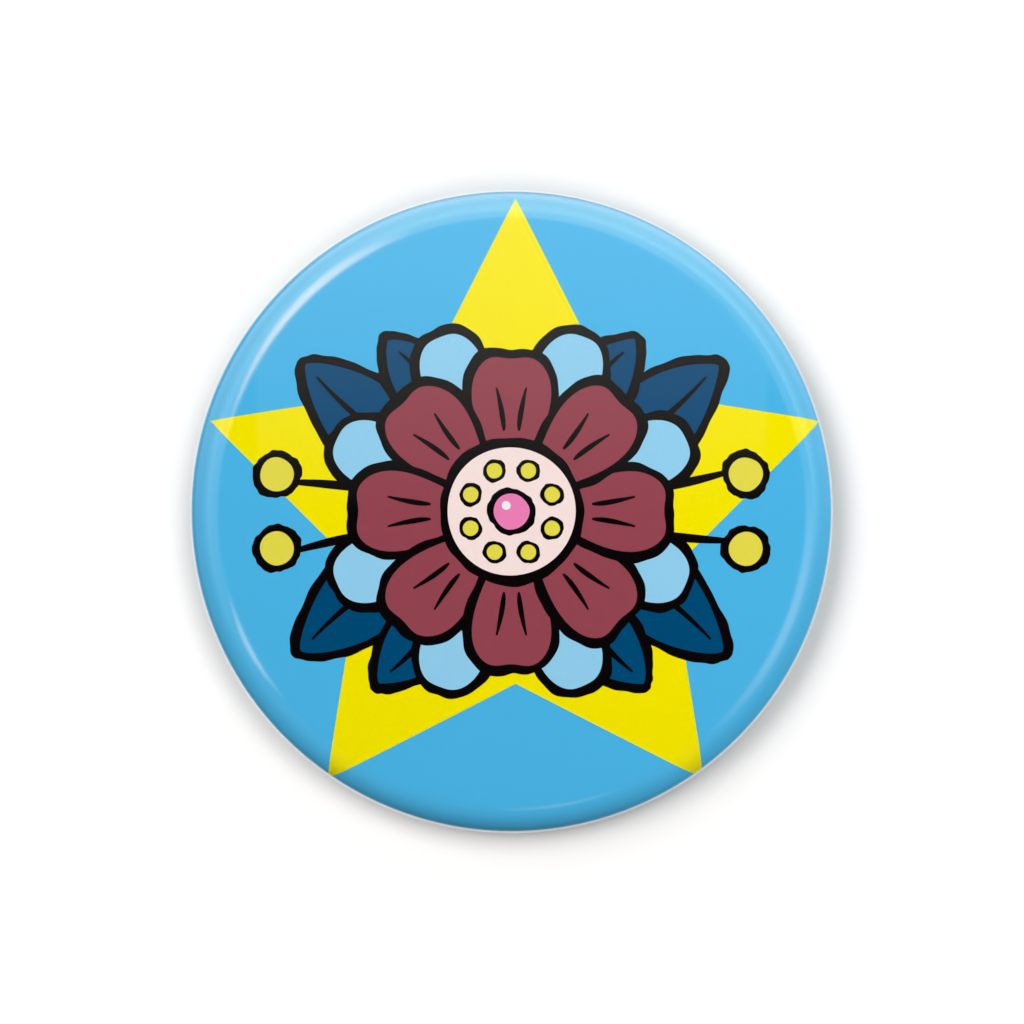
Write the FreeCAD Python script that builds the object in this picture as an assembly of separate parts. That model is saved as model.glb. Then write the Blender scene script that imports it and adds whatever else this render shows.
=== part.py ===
import FreeCAD, Part
import math
import os

# A 44 mm button badge, worn upright: +X to the right as seen from the front, +Y out of its back, +Z up.
# The origin is the centre of the plane that the back plate's rim bead lies in. Millimetres and degrees.

# Front: a shallow dome with a rounded shoulder, a short skirt and an edge curled in behind the skirt.
BADGE_R = 22.0        # outside radius, over the film
CROWN_HEIGHT = 5.8    # from the bead's plane to the top of the dome
DOME_R = 100.0        # the dome is a shallow sphere
SHOULDER_R = 2.6      # outside radius of the rounded edge
CURL_R = 0.95         # outside radius of the curled edge
CURL_LIFT = 0.15      # how far the curl stays in front of the bead's plane
SHELL_T = 0.25        # tinplate
PAPER_T = 0.12
FILM_T = 0.10
LAYER_GAP = 0.01      # between one layer of the front and the next
TUCK_ANGLE = 75.0     # how far film and paper run back inside the curl, once round the shell's edge

# Back plate: a flange held by the curl, a bead that stands on the cloth, and a recess for the pin.
PLATE_T = 0.25
SEAT_GAP = 0.02       # between pieces that rest on each other
FLANGE_REACH = 1.3    # from the bead's outer wall to the flange's edge
BEAD_CLEARANCE = 0.08  # between the bead's outer wall and the curl
BEAD_FLAT = 1.2       # width of the bead's flat crest
BEAD_BEND_R = 0.55
FLANGE_BEND_R = 0.3
RECESS_BEND_R = 0.35
RECESS_DEPTH = 2.5    # from the bead's crest to the plate inside it
RECESS_DRAFT = 12.0   # slope of the recess's wall

# Bridges: two strips, lanced from the plate and bowed out over the pin's fixed leg.
BRIDGE_FROM_COIL = 6.4  # from the coil's middle to the first strip's
BRIDGE_FROM_STEP = 2.8  # from the second strip's middle to where the leg steps out
BRIDGE_WIDTH = 2.4
BRIDGE_FOOT_R = 0.3
BRIDGE_CLEARANCE = 0.03
LANCE_GAP = 0.05      # between a strip and the sides of the window it leaves

# Pin: one length of spring wire with a fixed leg, a coil and a pointed arm.
PIN_END_CLEARANCE = 1.0  # from the recess's edge to the coil, and to the clasp
WIRE_R = 0.4
COIL_R = 1.3          # to the middle of the wire
COIL_PITCH = 0.86
COIL_HALF_TURNS = 3
COIL_LEAD_R = 3.0     # the small bends that lead into and out of the coil's slope
SET_OUT_ANGLE = 10.0  # the wire leaves the coil aslant
SET_OUT_RUN = 1.1     # for this far
SET_OUT_R = 2.0       # and bends parallel to the fixed leg
LEG_RISE = 0.6        # the leg steps out to the clasp
LEG_STEP_ANGLE = 15.0
LEG_STEP_GAP = 0.3    # from the step to the clasp's mouth
JOINT_GAP = 0.1       # between the wire's end and the arm's round root
TAPER_LENGTH = 4.8
TIP_R = 0.06

# Clasp: a folded cap, crimped on the leg's end and hooked round the arm's point.
CLASP_LENGTH = 3.4
CLASP_T = 0.25
LEG_END_GAP = 0.25    # from the leg's end to the clasp's end wall
TIP_GAP = 0.45        # from the arm's point to the clasp's end wall
CRIMP_CLEARANCE = 0.02
CRIMP_END_ANGLE = 125.0
HOOK_CLEARANCE = 0.05  # round the arm's full thickness
ESCAPE_ANGLE = 65.0    # the way out of the hook, measured from +Z towards +Y

X_AXIS = FreeCAD.Vector(1, 0, 0)
Y_AXIS = FreeCAD.Vector(0, 1, 0)
Z_AXIS = FreeCAD.Vector(0, 0, 1)

COVER_T = FILM_T + PAPER_T + 2 * LAYER_GAP
PLATE_Y = -RECESS_DEPTH
LEG_Y = PLATE_Y + SEAT_GAP + WIRE_R
COIL_ANGLE = 180 * COIL_HALF_TURNS - SET_OUT_ANGLE


# Sections are drawn in a flat (a, b) plane as rounds joined by straight tangents. A round is
# (centre a, centre b, radius, start angle, end angle) and runs clockwise if its end angle is lower.

def on_round(a, b, radius, angle):
    turn = math.radians(angle)
    return (a + radius * math.cos(turn), b + radius * math.sin(turn))


def arc_points(a, b, radius, start, end, offset=0):
    """Start, middle and end of a round, moved by offset to the left of the way it runs."""
    radius += offset if end < start else -offset
    return [on_round(a, b, radius, angle) for angle in (start, (start + end) / 2, end)]


def sheet_outline(rounds, near, far, first_edge=(), second_edge=()):
    """The outline of a sheet between two offsets from a line of rounds, with what closes its ends."""
    there = [arc_points(*each, far) for each in rounds]
    back = [arc_points(*each, near)[::-1] for each in reversed(rounds)]
    return there + list(second_edge) + back + list(first_edge)


def face_from(outline, place):
    """A face from arcs of three points and corners of one, with a straight edge across each gap."""
    edges = []
    for piece, following in zip(outline, outline[1:] + outline[:1]):
        points = [place(*point) for point in piece]
        if len(points) == 3:
            edges.append(Part.Arc(*points).toShape())
        next_point = place(*following[0])
        if points[-1].distanceToPoint(next_point) > 1e-6:
            edges.append(Part.makeLine(points[-1], next_point))
    return Part.Face(Part.Wire(edges))


def in_profile(radius, forward):
    """Badge section: distance from the badge's axis, and distance in front of the bead's plane."""
    return FreeCAD.Vector(radius, -forward, 0)


def across_pin(x):
    """Pin section: the plane across the pin at x, with +Z along a and +Y along b."""
    return lambda a, b: FreeCAD.Vector(x, b, a)


def turned(face):
    return face.revolve(FreeCAD.Vector(), Y_AXIS, 360)


# Front

def front_rounds():
    """The shell's outer surface from the crown outwards: dome, shoulder and curl."""
    shoulder_a = BADGE_R - SHOULDER_R
    reach = DOME_R - SHOULDER_R
    dome_b = CROWN_HEIGHT - DOME_R
    meeting = math.degrees(math.acos(shoulder_a / reach))
    shoulder_b = dome_b + math.sqrt(reach ** 2 - shoulder_a ** 2)
    return [
        (0, dome_b, DOME_R - COVER_T, 90, meeting),
        (shoulder_a, shoulder_b, SHOULDER_R - COVER_T, meeting, 0),
        (BADGE_R - CURL_R, CURL_LIFT + CURL_R, CURL_R - COVER_T, 0, -180),
    ]


def shell_edge():
    """The shell's round edge, at the end of the curl."""
    a, b, radius, _, _ = front_rounds()[-1]
    return (a - radius + SHELL_T / 2, b, SHELL_T / 2, 180, 0)


def tuck():
    """The inside of the curl, as far as film and paper are folded back along it."""
    a, b, radius, _, _ = front_rounds()[-1]
    return (a, b, radius - SHELL_T, -180, TUCK_ANGLE - 180)


def front_shell():
    outline = sheet_outline(front_rounds(), -SHELL_T, 0, second_edge=[arc_points(*shell_edge())])
    return turned(face_from(outline, in_profile))


def wrapped_layer(inside, thickness):
    """A thin layer over the whole shell, round its edge and back inside the curl."""
    rounds = front_rounds() + [shell_edge(), tuck()]
    return turned(face_from(sheet_outline(rounds, inside, inside + thickness), in_profile))


def printed_paper():
    return wrapped_layer(LAYER_GAP, PAPER_T)


def clear_film():
    return wrapped_layer(PAPER_T + 2 * LAYER_GAP, FILM_T)


# Back plate

def plate_rounds():
    """The plate's rear surface from the flange inwards: flange bend, bead and edge of the recess."""
    _, edge_b, edge_r, _, _ = shell_edge()
    wall_a = BADGE_R - 2 * CURL_R - BEAD_CLEARANCE
    flange_b = edge_b + edge_r + COVER_T + SEAT_GAP
    crest_a = wall_a - BEAD_BEND_R - BEAD_FLAT
    draft = math.radians(RECESS_DRAFT)
    bends = BEAD_BEND_R + RECESS_BEND_R
    recess_b = RECESS_DEPTH - RECESS_BEND_R
    slope = (recess_b - BEAD_BEND_R + bends * math.sin(draft)) / math.cos(draft)
    recess_a = crest_a - bends * math.cos(draft) - slope * math.sin(draft)
    return [
        (wall_a + FLANGE_BEND_R, flange_b - FLANGE_BEND_R, FLANGE_BEND_R, 90, 180),
        (wall_a - BEAD_BEND_R, BEAD_BEND_R, BEAD_BEND_R, 0, -90),
        (crest_a, BEAD_BEND_R, BEAD_BEND_R, -90, RECESS_DRAFT - 180),
        (recess_a, recess_b, RECESS_BEND_R, RECESS_DRAFT, 90),
    ]


def pressed_plate():
    rounds = plate_rounds()
    wall_a, flange_b = rounds[0][0] - FLANGE_BEND_R, rounds[0][1] + FLANGE_BEND_R
    flange_edge_a = wall_a + FLANGE_REACH
    middle = [[(0, RECESS_DEPTH)], [(0, RECESS_DEPTH + PLATE_T)]]
    flange_edge = [[(flange_edge_a, flange_b + PLATE_T)], [(flange_edge_a, flange_b)]]
    return turned(face_from(sheet_outline(rounds, -PLATE_T, 0, flange_edge, middle), in_profile))


# Places along the pin, which lies across the middle of the recess

def pin_reach():
    """How far from the middle the recess leaves room for the pin."""
    return plate_rounds()[-1][0] - PIN_END_CLEARANCE


def coil_x():
    return COIL_R + WIRE_R - pin_reach()


def clasp_start_x():
    return pin_reach() - CLASP_LENGTH


def step_radius():
    """The leg steps out in two equal bends of this radius."""
    return LEG_RISE / (2 * (1 - math.cos(math.radians(LEG_STEP_ANGLE))))


def step_start_x():
    step_length = 2 * step_radius() * math.sin(math.radians(LEG_STEP_ANGLE))
    return clasp_start_x() - LEG_STEP_GAP - step_length


def leg_end_x():
    return pin_reach() - CLASP_T - LEG_END_GAP


def tip_x():
    return pin_reach() - CLASP_T - TIP_GAP


def bridge_xs():
    return coil_x() + BRIDGE_FROM_COIL, step_start_x() - BRIDGE_FROM_STEP


def bridge_rounds():
    """A strip's rear surface across the pin's leg: foot, crown, foot."""
    crown_r = WIRE_R + BRIDGE_CLEARANCE + PLATE_T
    foot_b = PLATE_Y + BRIDGE_FOOT_R
    between = crown_r + BRIDGE_FOOT_R
    dip = math.degrees(math.asin((LEG_Y - foot_b) / between))
    half_span = between * math.cos(math.radians(dip))
    return [
        (COIL_R + half_span, foot_b, BRIDGE_FOOT_R, 270, 180 - dip),
        (COIL_R, LEG_Y, crown_r, -dip, 180 + dip),
        (COIL_R - half_span, foot_b, BRIDGE_FOOT_R, 360 + dip, 270),
    ]


def bridge(x):
    section = face_from(sheet_outline(bridge_rounds(), 0, PLATE_T), across_pin(x - BRIDGE_WIDTH / 2))
    return section.extrude(X_AXIS * BRIDGE_WIDTH)


def lanced_window(x):
    width = BRIDGE_WIDTH + 2 * LANCE_GAP
    high_z, low_z = bridge_rounds()[0][0], bridge_rounds()[-1][0]
    corner = FreeCAD.Vector(x - width / 2, PLATE_Y - 2 * PLATE_T, low_z)
    return Part.makeBox(width, 3 * PLATE_T, high_z - low_z, corner)


def back_plate():
    plate = pressed_plate().cut([lanced_window(x) for x in bridge_xs()])
    return plate.fuse([bridge(x) for x in bridge_xs()]).removeSplitter()


# Pin

class WirePath:
    """A line of edges, each leaving along the heading that the last one ended with."""

    def __init__(self, point, heading):
        self.point, self.heading, self.edges = point, heading, []

    def run(self, length):
        end = self.point + self.heading * length
        self.edges.append(Part.makeLine(self.point, end))
        self.point = end

    def bend(self, radius, angle, axis):
        """Turn about an axis square to the heading, either way."""
        centre = self.point + axis.cross(self.heading) * math.copysign(radius, angle)
        spoke = self.point - centre
        middle = centre + FreeCAD.Rotation(axis, angle / 2).multVec(spoke)
        turn = FreeCAD.Rotation(axis, angle)
        end = centre + turn.multVec(spoke)
        self.edges.append(Part.Arc(self.point, middle, end).toShape())
        self.point, self.heading = end, turn.multVec(self.heading)

    def coil(self, radius, pitch, angle):
        """Climb along +Y, starting at the coil's top and heading towards -X."""
        helix = Part.makeHelix(pitch, pitch * angle / 360, radius, 0, True)
        helix.Placement = FreeCAD.Placement(
            self.point - Z_AXIS * radius, FreeCAD.Rotation(FreeCAD.Vector(1, 1, 1), -120)
        )
        self.edges += helix.Edges
        climb = math.atan2(pitch, 2 * math.pi * radius)
        across = FreeCAD.Rotation(Y_AXIS, -angle).multVec(-X_AXIS)
        spoke = FreeCAD.Rotation(Y_AXIS, -angle).multVec(Z_AXIS * radius)
        self.point += Y_AXIS * (pitch * angle / 360) + spoke - Z_AXIS * radius
        self.heading = across * math.cos(climb) + Y_AXIS * math.sin(climb)


def leg_end():
    return FreeCAD.Vector(leg_end_x(), LEG_Y + LEG_RISE, COIL_R)


def wire_path():
    """From the leg's end in the clasp, along the plate, round the coil and out towards the arm."""
    climb = math.degrees(math.atan2(COIL_PITCH, 2 * math.pi * COIL_R))
    lead = COIL_LEAD_R * math.sin(math.radians(climb))
    path = WirePath(leg_end(), -X_AXIS)
    path.run(leg_end_x() - clasp_start_x() + LEG_STEP_GAP)
    path.bend(step_radius(), LEG_STEP_ANGLE, Z_AXIS)
    path.bend(step_radius(), -LEG_STEP_ANGLE, Z_AXIS)
    path.run(step_start_x() - coil_x() - lead)
    path.bend(COIL_LEAD_R, -climb, Z_AXIS)
    path.coil(COIL_R, COIL_PITCH, COIL_ANGLE)
    level = path.heading.cross(Y_AXIS).normalize()
    path.bend(COIL_LEAD_R, -climb, level)
    path.run(SET_OUT_RUN)
    path.bend(SET_OUT_R, -SET_OUT_ANGLE, Y_AXIS)
    return path


def pin_wire():
    section = Part.Wire(Part.makeCircle(WIRE_R, leg_end(), -X_AXIS))
    return Part.Wire(wire_path().edges).makePipeShell([section], True, False)


def arm_root():
    """The middle of the arm's round root, on which it swings."""
    return wire_path().point + X_AXIS * (JOINT_GAP + WIRE_R)


def pin_arm():
    root = arm_root()
    taper = math.degrees(math.atan2(WIRE_R - TIP_R, TAPER_LENGTH - TIP_R))
    outline = [
        arc_points(root.x, 0, WIRE_R, 180, 90),
        [(tip_x() - TAPER_LENGTH, WIRE_R)],
        arc_points(tip_x() - TIP_R, 0, TIP_R, 90 - taper, 0),
    ]
    section = face_from(outline, lambda a, b: FreeCAD.Vector(a, root.y + b, root.z))
    return section.revolve(root, X_AXIS, 360)


# Clasp

def clasp_rounds():
    """The clasp's inner surface: crimped round the leg, straight across, and hooked round the arm."""
    root = arm_root()
    leg_a, leg_b, leg_r = COIL_R, LEG_Y + LEG_RISE, WIRE_R + CRIMP_CLEARANCE
    arm_a, arm_b, arm_r = root.z, root.y, WIRE_R + HOOK_CLEARANCE
    across = math.atan2(arm_b - leg_b, arm_a - leg_a)
    distance = math.hypot(arm_a - leg_a, arm_b - leg_b)
    contact = math.degrees(across + math.acos((leg_r - arm_r) / distance))
    return [
        (leg_a, leg_b, leg_r, CRIMP_END_ANGLE, contact - 360),
        (arm_a, arm_b, arm_r, contact, ESCAPE_ANGLE + 90),
    ]


def pin_clasp():
    rounds = clasp_rounds()
    section = face_from(sheet_outline(rounds, 0, CLASP_T), across_pin(clasp_start_x()))
    folded = section.extrude(X_AXIS * CLASP_LENGTH)
    end_face = face_from([arc_points(*each, CLASP_T) for each in rounds], across_pin(pin_reach()))
    return folded.fuse(end_face.extrude(X_AXIS * -CLASP_T)).removeSplitter()


PIECES = {
    "clear_film": clear_film,
    "printed_paper": printed_paper,
    "front_shell": front_shell,
    "back_plate": back_plate,
    "pin_wire": pin_wire,
    "pin_arm": pin_arm,
    "pin_clasp": pin_clasp,
}

os.makedirs("parts", exist_ok=True)
for name, make in PIECES.items():
    make().exportStep(os.path.join("parts", name + ".step"))
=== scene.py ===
import math
import random

import bmesh
import bpy
import numpy as np
from mathutils import Matrix, Vector
from mathutils.geometry import delaunay_2d_cdt


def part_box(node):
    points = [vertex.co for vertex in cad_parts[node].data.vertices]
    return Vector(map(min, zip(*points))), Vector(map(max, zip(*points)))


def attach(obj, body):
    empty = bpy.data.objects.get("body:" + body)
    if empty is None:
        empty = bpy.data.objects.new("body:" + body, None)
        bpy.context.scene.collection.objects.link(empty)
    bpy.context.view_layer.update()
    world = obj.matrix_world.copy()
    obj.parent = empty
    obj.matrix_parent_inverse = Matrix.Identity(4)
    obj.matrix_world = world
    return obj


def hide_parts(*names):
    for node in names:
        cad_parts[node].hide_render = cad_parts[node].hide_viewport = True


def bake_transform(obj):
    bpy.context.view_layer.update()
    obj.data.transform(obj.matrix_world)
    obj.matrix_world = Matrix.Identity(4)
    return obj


# A 44 mm button badge, hanging as it is worn: +X right, +Y out of its back, +Z up. Lengths are in
# millimetres up to the point where a mesh is made, and metres from there on.

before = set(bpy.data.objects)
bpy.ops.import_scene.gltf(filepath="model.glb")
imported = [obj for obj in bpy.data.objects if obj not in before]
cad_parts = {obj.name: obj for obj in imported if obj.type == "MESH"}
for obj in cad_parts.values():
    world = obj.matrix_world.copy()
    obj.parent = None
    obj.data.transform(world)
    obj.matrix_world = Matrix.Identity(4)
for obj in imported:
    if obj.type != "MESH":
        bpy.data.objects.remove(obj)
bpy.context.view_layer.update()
MM = 0.001
rng = random.Random(44)

# The badge's section, the same rounds as in the CAD model
BADGE_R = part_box("clear_film")[1].x / MM
CROWN_HEIGHT = -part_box("clear_film")[0].y / MM
DOME_R = 100.0
SHOULDER_R = 2.6
CURL_R = 0.95
CURL_LIFT = 0.15
SHELL_T = 0.25
PAPER_T = 0.12
FILM_T = 0.10
LAYER_GAP = 0.01
TUCK_ANGLE = 75.0      # how far each layer's end is tucked round the curl
PAPER_FACE = LAYER_GAP + PAPER_T               # how far the paper's face lies over the shell
COVER_T = FILM_T + PAPER_T + 2 * LAYER_GAP     # and the film's

# The pin's wire, also as in the CAD model
WIRE_R = 0.4
COIL_R = 1.3
COIL_PITCH = 0.86
COIL_HALF_TURNS = 3
COIL_LEAD_R = 3.0      # of the bends that lead into the coil and out of it
SET_OUT_ANGLE = 10.0   # at which the wire leaves the coil, before the arm levels out
SET_OUT_RUN = 1.1
SET_OUT_R = 2.0
LEG_RISE = 0.6         # of the leg's end in the clasp above its run through the bridges
LEG_STEP_ANGLE = 15.0
LEG_STEP_GAP = 0.3     # between that step and the clasp
TAPER_LENGTH = 4.8
TIP_R = 0.06


# ---------------------------------------------------------------- meshes

def mesh_object(name, points, faces, materials, smooth=True, face_materials=None):
    """A mesh from points in millimetres."""
    mesh = bpy.data.meshes.new(name)
    mesh.from_pydata([tuple(c * MM for c in p) for p in points], [], faces)
    for material in materials:
        mesh.materials.append(material)
    mesh.polygons.foreach_set("use_smooth", [smooth] * len(mesh.polygons))
    if face_materials is not None:
        mesh.polygons.foreach_set("material_index", face_materials)
    mesh.update()
    obj = bpy.data.objects.new(name, mesh)
    bpy.context.scene.collection.objects.link(obj)
    return obj


def on_round(a, b, radius, angle):
    """The point of a round at an angle in degrees."""
    turn = math.radians(angle)
    return a + radius * math.cos(turn), b + radius * math.sin(turn)


def front_rounds():
    """The shell's outer surface as (centre a, centre b, radius, start, end) rounds from the crown out."""
    shoulder_a = BADGE_R - SHOULDER_R
    reach = DOME_R - SHOULDER_R
    dome_b = CROWN_HEIGHT - DOME_R
    meeting = math.degrees(math.acos(shoulder_a / reach))
    shoulder_b = dome_b + math.sqrt(reach ** 2 - shoulder_a ** 2)
    curl_r = CURL_R - COVER_T
    curl_a, curl_b = BADGE_R - CURL_R, CURL_LIFT + CURL_R
    return [
        (0, dome_b, DOME_R - COVER_T, 90, meeting),
        (shoulder_a, shoulder_b, SHOULDER_R - COVER_T, meeting, 0),
        (curl_a, curl_b, curl_r, 0, -180),
        (curl_a - curl_r + SHELL_T / 2, curl_b, SHELL_T / 2, 180, 0),
        (curl_a, curl_b, curl_r - SHELL_T, -180, TUCK_ANGLE - 180),
    ]


DOME_STEP = 0.4       # degrees between the dome's rings
BEND_STEP = 6.0       # and between those of the tighter rounds
JOIN_SHARE = 0.06     # of a step, to the extra ring that keeps each round's shading its own up to the join
LATHE_TURNS = 360     # points round the badge
ON_AXIS = 1e-6


def section(offset, rounds):
    """Points (distance from the axis, distance in front of the bead's plane) along the section."""
    points = []
    for a, b, radius, start, end in rounds:
        radius += offset if end < start else -offset
        step = DOME_STEP if radius > BADGE_R else BEND_STEP
        count = max(2, math.ceil(abs(end - start) / step))
        places = [0, JOIN_SHARE, *range(1, count), count - JOIN_SHARE, count]
        points += [on_round(a, b, radius, start + (end - start) * place / count) for place in places]
    return points


def lathe(points, first_ring=0):
    """Vertices and quads of a section turned about the badge's axis; points on the axis become poles."""
    verts, rings = [], []
    for a, b in points:
        if a < ON_AXIS:
            rings.append([first_ring + len(verts)])
            verts.append((0, -b, 0))
            continue
        rings.append([first_ring + len(verts) + i for i in range(LATHE_TURNS)])
        for i in range(LATHE_TURNS):
            turn = 2 * math.pi * i / LATHE_TURNS
            verts.append((a * math.cos(turn), -b, a * math.sin(turn)))
    faces = []
    for ring, following in zip(rings, rings[1:]):
        for i in range(LATHE_TURNS):
            j = (i + 1) % LATHE_TURNS
            corners = [ring[i % len(ring)], ring[j % len(ring)],
                       following[j % len(following)], following[i % len(following)]]
            distinct = list(dict.fromkeys(corners))
            if len(distinct) > 2:
                faces.append(distinct)
    return verts, faces


# ---------------------------------------------------------------- materials

def srgb(r, g, b):
    """A linear colour from one in display levels, 0 to 255."""
    def linear(c):
        c /= 255
        return c / 12.92 if c <= 0.04045 else ((c + 0.055) / 1.055) ** 2.4
    return linear(r), linear(g), linear(b), 1.0


def tinted(colour, *factors):
    """A colour times one factor, or one for each channel."""
    factors = factors if len(factors) == 3 else factors * 3
    return tuple(c * factor for c, factor in zip(colour, factors)) + (1.0,)


def new_material(name):
    material = bpy.data.materials.new(name)
    material.use_nodes = True
    tree = material.node_tree
    return material, tree, tree.nodes["Principled BSDF"]


def noise(tree, scale, detail, stretch=(1, 1, 1), roughness=0.5):
    """Noise in the object's own coordinates, which are metres, so scale is in waves per metre."""
    place = tree.nodes.new("ShaderNodeTexCoord")
    mapping = tree.nodes.new("ShaderNodeMapping")
    mapping.inputs["Scale"].default_value = stretch
    texture = tree.nodes.new("ShaderNodeTexNoise")
    texture.inputs["Scale"].default_value = scale
    texture.inputs["Detail"].default_value = detail
    texture.inputs["Roughness"].default_value = roughness
    tree.links.new(place.outputs["Object"], mapping.inputs["Vector"])
    tree.links.new(mapping.outputs["Vector"], texture.inputs["Vector"])
    return texture.outputs["Fac"]


def ranged(tree, value, low, high, out_low, out_high):
    """The value's place between low and high, as one between the two outputs; it stops at either."""
    node = tree.nodes.new("ShaderNodeMapRange")
    for name, number in (("From Min", low), ("From Max", high), ("To Min", out_low), ("To Max", out_high)):
        node.inputs[name].default_value = number
    tree.links.new(value, node.inputs["Value"])
    return node.outputs["Result"]


def fill_in(tree, socket, value):
    """Link the socket to another one, or give it a plain value."""
    if isinstance(value, bpy.types.NodeSocket):
        tree.links.new(value, socket)
    else:
        socket.default_value = value


def calc(tree, operation, *values):
    node = tree.nodes.new("ShaderNodeMath")
    node.operation = operation
    for socket, value in zip(node.inputs, values):
        fill_in(tree, socket, value)
    return node.outputs["Value"]


def product(tree, first, *others):
    for other in others:
        first = calc(tree, "MULTIPLY", first, other)
    return first


def vector_calc(tree, operation, *values):
    node = tree.nodes.new("ShaderNodeVectorMath")
    node.operation = operation
    for socket, value in zip(node.inputs, values):
        fill_in(tree, socket, value)
    return node.outputs["Value" if operation in ("LENGTH", "DOT_PRODUCT") else "Vector"]


def scaled(tree, colour, level):
    scale = vector_calc(tree, "SCALE", colour)
    tree.links.new(level, scale.node.inputs["Scale"])
    return scale


def added(tree, *colours):
    total = colours[0]
    for colour in colours[1:]:
        total = vector_calc(tree, "ADD", total, colour)
    return total


def separated(tree, vector):
    node = tree.nodes.new("ShaderNodeSeparateXYZ")
    tree.links.new(vector, node.inputs["Vector"])
    return node.outputs


def two_sided(tree, share, first, second):
    """The material's surface: the second shader by its share, the first for the rest."""
    mix = tree.nodes.new("ShaderNodeMixShader")
    tree.links.new(share, mix.inputs["Fac"])
    tree.links.new(first.outputs["BSDF"], mix.inputs[1])
    tree.links.new(second.outputs["BSDF"], mix.inputs[2])
    tree.links.new(mix.outputs["Shader"], tree.nodes["Material Output"].inputs["Surface"])


def ramp(tree, value, stops):
    """A level for each value, given by (value, level) stops with straight lines between them."""
    node = tree.nodes.new("ShaderNodeValToRGB")
    elements = node.color_ramp.elements
    while len(elements) < len(stops):
        elements.new(0.5)
    for element, (place, level) in zip(elements, stops):
        element.position = place
        element.color = (level, level, level, 1.0)
    tree.links.new(value, node.inputs["Fac"])
    return node.outputs["Color"]


def mixed(tree, factor, first, second):
    node = tree.nodes.new("ShaderNodeMix")
    node.data_type = "RGBA"
    for name, value in (("A", first), ("B", second), ("Factor", factor)):
        fill_in(tree, node.inputs[name], value)
    return node.outputs["Result"]


def bump(tree, height, strength, distance, below=None):
    node = tree.nodes.new("ShaderNodeBump")
    node.inputs["Strength"].default_value = strength
    node.inputs["Distance"].default_value = distance
    tree.links.new(height, node.inputs["Height"])
    if below is not None:
        tree.links.new(below, node.inputs["Normal"])
    return node.outputs["Normal"]


# Each noise is given by its scale in waves per metre and its detail, a few also by stretch and roughness,
# and each bump by its strength and its distance in metres.
NOISE_MIDDLE = (0.3, 0.7)      # the levels that most noise stays between
INK_GRAIN = (9000.0, 3.0)      # fine print grain
INK_CLOUD = (260.0, 2.0)       # slow drift of the ink's depth
INK_DARKER, INK_LIGHTER, INK_DEEPER = 0.955, 1.02, 0.975
INK_VEIL = 0.001               # the light that the palest grain adds even to black
INK_ROUGHNESS = (0.55, 0.68)
PAPER_FIBRE = (4200.0, 3.0)
FIBRE_BUMP = (0.05, 0.00001)


def ink(name, colour):
    """Ink on coated paper: a hair lighter and darker in its grain, with a slow drift."""
    material, tree, shader = new_material(name)
    grain = ranged(tree, noise(tree, *INK_GRAIN), *NOISE_MIDDLE, 0.0, 1.0)
    cloud = ranged(tree, noise(tree, *INK_CLOUD), *NOISE_MIDDLE, 0.0, 1.0)
    base = srgb(*colour)
    lighter = tuple(c * INK_LIGHTER + INK_VEIL for c in base[:3]) + (1.0,)
    pale = mixed(tree, grain, tinted(base, INK_DARKER), lighter)
    full = mixed(tree, grain, tinted(base, INK_DEEPER), base)
    tree.links.new(mixed(tree, cloud, pale, full), shader.inputs["Base Color"])
    tree.links.new(ranged(tree, grain, 0.0, 1.0, *INK_ROUGHNESS), shader.inputs["Roughness"])
    shader.inputs["Specular IOR Level"].default_value = 0.0
    tree.links.new(bump(tree, noise(tree, *PAPER_FIBRE), *FIBRE_BUMP), shader.inputs["Normal"])
    return material


FILM_IOR = 1.47
FILM_COLOUR = (0.98, 0.99, 1.0, 1.0)
FILM_RIPPLE = (420.0, 1.0)
RIPPLE_BUMP = (0.05, 0.00001)
FILM_HAZE = (2600.0, 3.0)
HAZE_ROUGHNESS = (0.35, 0.75, 0.012, 0.03)     # between these levels of haze, from clear to hazy


def film_material():
    """Clear polyester: what isn't mirrored at its outer face passes straight through."""
    material, tree, shader = new_material("polyester_film")
    shader.inputs["Base Color"].default_value = FILM_COLOUR
    shader.inputs["Metallic"].default_value = 1.0
    tree.links.new(bump(tree, noise(tree, *FILM_RIPPLE), *RIPPLE_BUMP), shader.inputs["Normal"])
    tree.links.new(ranged(tree, noise(tree, *FILM_HAZE), *HAZE_ROUGHNESS), shader.inputs["Roughness"])
    fresnel = tree.nodes.new("ShaderNodeFresnel")
    fresnel.inputs["IOR"].default_value = FILM_IOR
    geometry = tree.nodes.new("ShaderNodeNewGeometry")
    outer_face = calc(tree, "SUBTRACT", 1.0, geometry.outputs["Backfacing"])
    mirrored = product(tree, fresnel.outputs["Fac"], outer_face)
    two_sided(tree, mirrored, tree.nodes.new("ShaderNodeBsdfTransparent"), shader)
    return material


ROLLED_STRETCH = 0.02          # of the rolling lines, which run along one axis
ROLLED_LINES = (9000.0, 3.0)
LINES_ROUGHNESS = 0.06
LINES_BUMP = (0.2, 0.000012)
TIN_CLOUD = (180.0, 4.0)
CLOUD_DULLS = (0.3, 0.75, 0.0, 0.35)
CLOUD_ROUGHNESS = (0.29, 0.34)
CLOUD_BUMP = (0.08, 0.00004)
SCUFFS = (2400.0, 6.0, (1.0, 1.0, 0.18), 0.7)
SCUFF_LEVELS = (0.62, 0.74)
SCUFF_ROUGHNESS = 0.12
TIN_DULL = 0.9


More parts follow.
